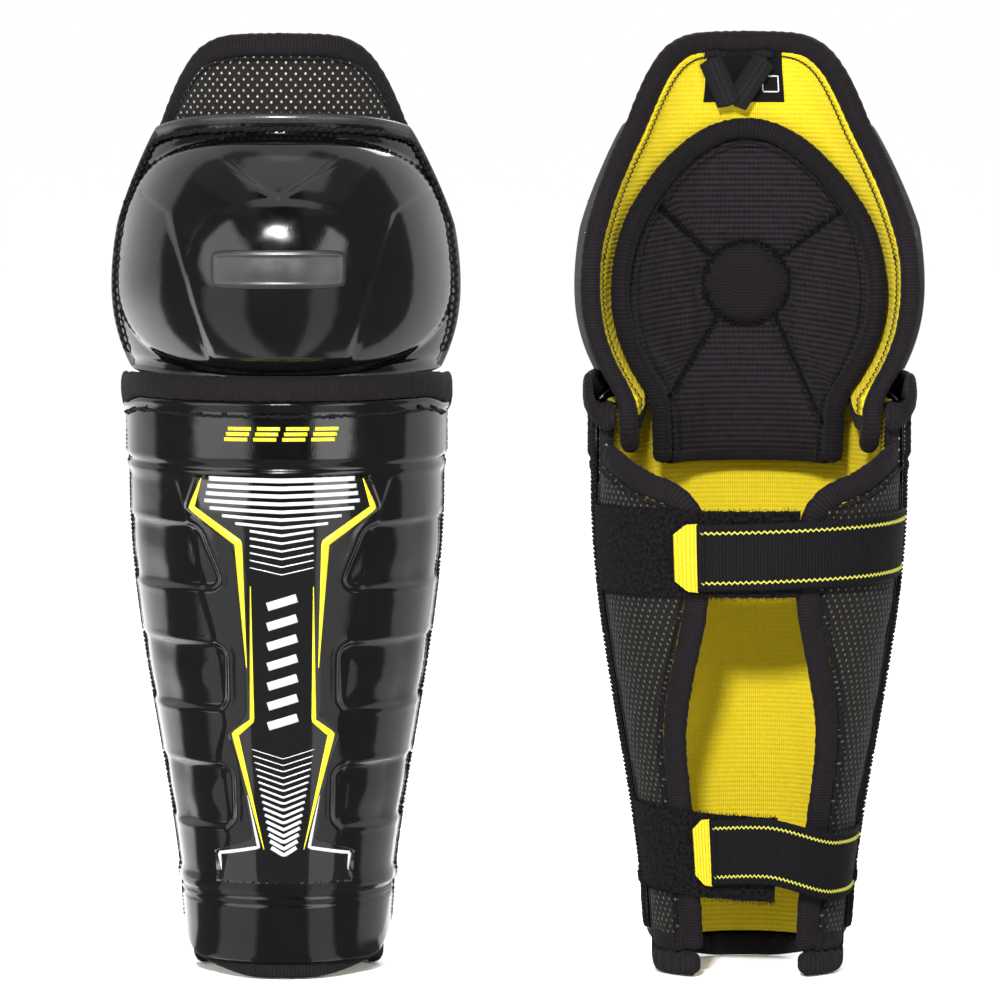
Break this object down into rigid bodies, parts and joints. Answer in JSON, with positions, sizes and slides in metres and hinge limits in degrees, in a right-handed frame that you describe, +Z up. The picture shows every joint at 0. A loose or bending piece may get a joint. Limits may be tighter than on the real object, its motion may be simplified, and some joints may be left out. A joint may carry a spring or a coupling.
{
  "type": "ice hockey shin guard pair",
  "caption": "Junior hockey shin guards standing upright: hinged knee cup, ribbed liner, calf wings, hook-and-loop straps.",
  "frame": {"origin": "centre of the pair on the surface it stands on, midway between the guards", "axes": "+Z up along the guards, +X from the right guard to the left guard; the right guard faces -Y, the left guard faces +Y"},
  "size_m": [0.3088, 0.1516, 0.358],
  "materials": {
    "shell": "high gloss, deep black, moulded",
    "badge": "satin raised blank plate",
    "foam": "closed-cell foam",
    "thread": "thick waxed thread",
    "liner": "ribbed brushed knit over foam, yellow",
    "binding": "black ribbed knit binding",
    "pad_fabric": "black quilted ribbed knit",
    "label": "blank woven label",
    "ribbon": "black herringbone ribbon",
    "gusset_fabric": "black stretch knit",
    "decal": "printed film: white and yellow stripes on black",
    "mesh_fabric": "black mesh with grey pin dots",
    "loop_pile": "fuzzy loop pile, matte black",
    "webbing": "black ribbed elastic with yellow edge stitching",
    "pull_tab": "yellow woven tab",
    "hook_pile": "moulded hook tape"
  },
  "bodies": {
    "right_knee": {"right_knee_shell": "shell", "right_knee_badge": "badge", "right_knee_foam": "foam", "right_knee_stitching": "thread", "right_knee_liner": "liner", "right_knee_binding": "binding", "right_knee_pad": "pad_fabric", "right_knee_pad_binding": "binding", "right_label": "label"},
    "right_hang_loop": {"right_hang_loop": "ribbon"},
    "right_inner_wing": {"right_inner_wing": "mesh_fabric", "right_inner_wing_binding": "binding"},
    "right_outer_wing": {"right_outer_wing": "mesh_fabric", "right_outer_wing_binding": "binding"},
    "right_upper_strap": {"right_upper_strap": "webbing", "right_upper_pull_tab": "pull_tab", "right_upper_hook": "hook_pile"},
    "right_lower_strap": {"right_lower_strap": "webbing", "right_lower_pull_tab": "pull_tab", "right_lower_hook": "hook_pile"},
    "right_shin": {"right_knee_gusset": "gusset_fabric", "right_shin_shell": "shell", "right_shin_decal": "decal", "right_shin_stitching": "thread", "right_shin_liner": "liner", "right_shin_band": "binding", "right_bottom_hem": "binding", "right_upper_loop_tab": "loop_pile", "right_lower_loop_tab": "loop_pile"},
    "left_knee": {"left_knee_shell": "shell", "left_knee_badge": "badge", "left_knee_foam": "foam", "left_knee_stitching": "thread", "left_knee_liner": "liner", "left_knee_binding": "binding", "left_knee_pad": "pad_fabric", "left_knee_pad_binding": "binding", "left_label": "label"},
    "left_hang_loop": {"left_hang_loop": "ribbon"},
    "left_inner_wing": {"left_inner_wing": "mesh_fabric", "left_inner_wing_binding": "binding"},
    "left_outer_wing": {"left_outer_wing": "mesh_fabric", "left_outer_wing_binding": "binding"},
    "left_upper_strap": {"left_upper_strap": "webbing", "left_upper_pull_tab": "pull_tab", "left_upper_hook": "hook_pile"},
    "left_lower_strap": {"left_lower_strap": "webbing", "left_lower_pull_tab": "pull_tab", "left_lower_hook": "hook_pile"},
    "left_shin": {"left_knee_gusset": "gusset_fabric", "left_shin_shell": "shell", "left_shin_decal": "decal", "left_shin_stitching": "thread", "left_shin_liner": "liner", "left_shin_band": "binding", "left_bottom_hem": "binding", "left_upper_loop_tab": "loop_pile", "left_lower_loop_tab": "loop_pile"}
  },
  "joints": [
    {"name": "pair_spread", "type": "slide", "parent": "right_shin", "child": "left_shin", "axis": [1, 0, 0], "range_m": [0, 0.2]},
    {"name": "right_knee_bend", "type": "hinge", "parent": "right_shin", "child": "right_knee", "pos_m": [-0.088, 0.008, 0.205], "axis": [-1, 0, 0], "range_deg": [0, 20]},
    {"name": "right_hang_loop_swing", "type": "hinge", "parent": "right_knee", "child": "right_hang_loop", "pos_m": [-0.088, -0.0335, 0.347], "axis": [1, 0, 0], "range_deg": [0, 70]},
    {"name": "right_upper_strap_swing", "type": "hinge", "parent": "right_shin", "child": "right_upper_strap", "pos_m": [-0.02807, 0.01452, 0.163], "axis": [0, 0, -1], "range_deg": [0, 95]},
    {"name": "right_lower_strap_swing", "type": "hinge", "parent": "right_shin", "child": "right_lower_strap", "pos_m": [-0.04468, 0.01119, 0.048], "axis": [0, 0, -1], "range_deg": [0, 95]},
    {"name": "right_inner_wing_fold", "type": "hinge", "parent": "right_shin", "child": "right_inner_wing", "pos_m": [-0.04603, 0.01008, 0.1017], "axis": [0.1121, 0.018, 0.9935], "range_deg": [0, 20]},
    {"name": "right_outer_wing_fold", "type": "hinge", "parent": "right_shin", "child": "right_outer_wing", "pos_m": [-0.12997, 0.01008, 0.1017], "axis": [0.1121, -0.018, -0.9935], "range_deg": [0, 20]},
    {"name": "left_knee_bend", "type": "hinge", "parent": "left_shin", "child": "left_knee", "pos_m": [0.088, -0.008, 0.205], "axis": [1, 0, 0], "range_deg": [0, 20]},
    {"name": "left_hang_loop_swing", "type": "hinge", "parent": "left_knee", "child": "left_hang_loop", "pos_m": [0.088, 0.0335, 0.347], "axis": [-1, 0, 0], "range_deg": [0, 70]},
    {"name": "left_upper_strap_swing", "type": "hinge", "parent": "left_shin", "child": "left_upper_strap", "pos_m": [0.14793, -0.01452, 0.163], "axis": [0, 0, 1], "range_deg": [0, 95]},
    {"name": "left_lower_strap_swing", "type": "hinge", "parent": "left_shin", "child": "left_lower_strap", "pos_m": [0.13132, -0.01119, 0.048], "axis": [0, 0, 1], "range_deg": [0, 95]},
    {"name": "left_inner_wing_fold", "type": "hinge", "parent": "left_shin", "child": "left_inner_wing", "pos_m": [0.12997, -0.01008, 0.1017], "axis": [-0.1121, 0.018, -0.9935], "range_deg": [0, 20]},
    {"name": "left_outer_wing_fold", "type": "hinge", "parent": "left_shin", "child": "left_outer_wing", "pos_m": [0.04603, -0.01008, 0.1017], "axis": [-0.1121, -0.018, 0.9935], "range_deg": [0, 20]}
  ]
}
